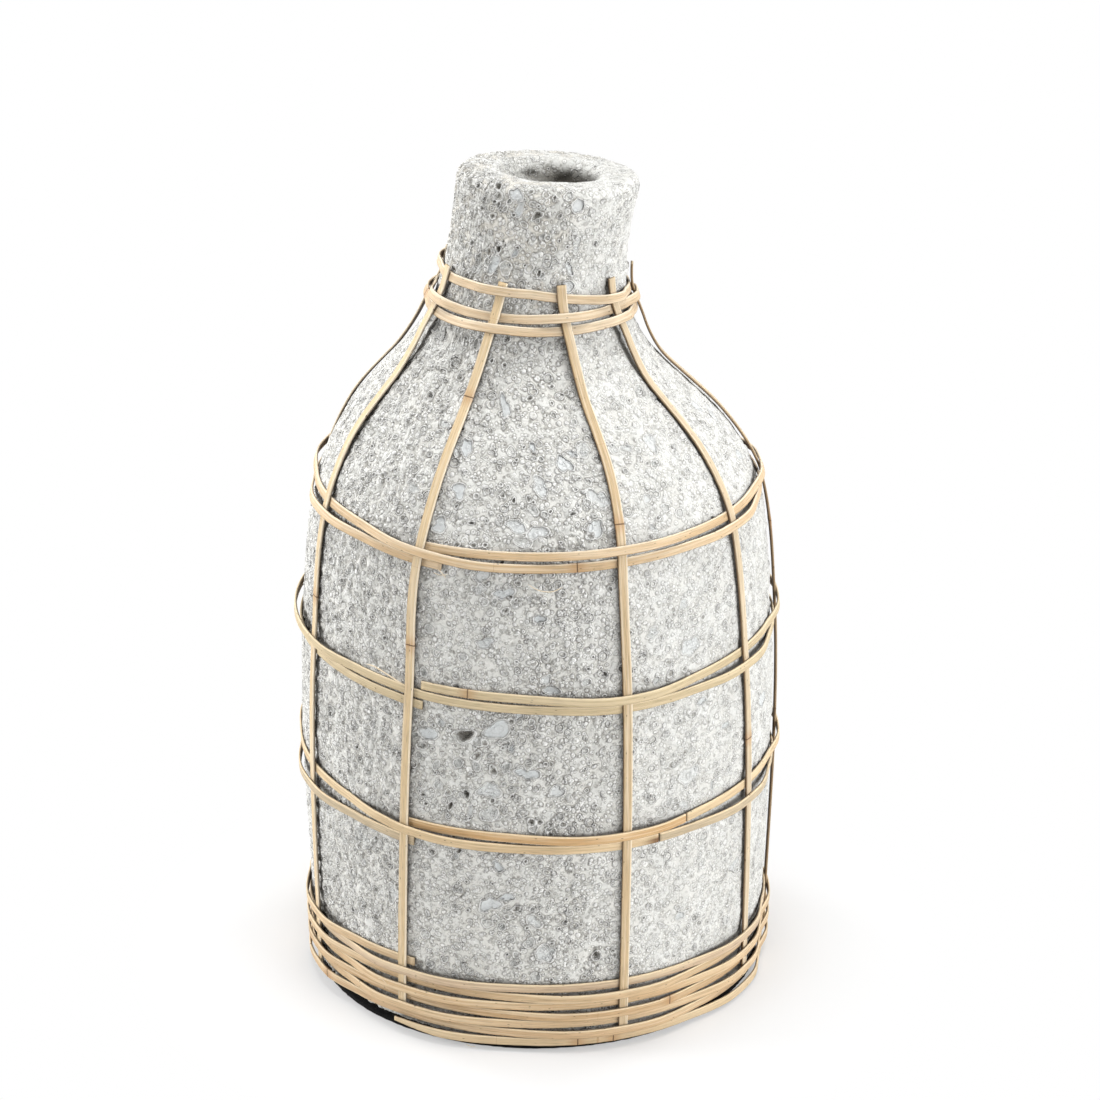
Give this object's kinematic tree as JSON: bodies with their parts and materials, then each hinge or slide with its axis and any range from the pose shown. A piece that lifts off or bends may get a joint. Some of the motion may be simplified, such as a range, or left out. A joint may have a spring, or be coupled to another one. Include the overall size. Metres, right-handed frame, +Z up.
{
  "type": "concrete vase",
  "caption": "Bottle-shaped vase of pitted pale concrete with a crooked thick-rimmed neck, held in a woven cane cage on a felt pad; holds dry stems or branches.",
  "frame": {"origin": "middle of the felt pad's underside, where the vase stands", "axes": "+Z up along the belly's axis, front towards -Y, +X to the right as seen from the front"},
  "size_m": [0.2514, 0.251, 0.4329],
  "materials": {
    "concrete": "matt raw concrete, pitted with ring craters and pinholes",
    "cane": "split cane with lengthwise grain and a soft sheen",
    "felt": "matt black felt"
  },
  "bodies": {
    "root": {"vase_body": "concrete", "felt_pad": "felt", "rib_1": "cane", "rib_2": "cane", "rib_3": "cane", "rib_4": "cane", "rib_5": "cane", "rib_6": "cane", "rib_7": "cane", "rib_8": "cane", "rib_9": "cane", "weaver_neck": "cane", "weaver_shoulder": "cane", "weaver_middle": "cane", "weaver_lower": "cane", "weaver_base": "cane"}
  },
  "joints": []
}
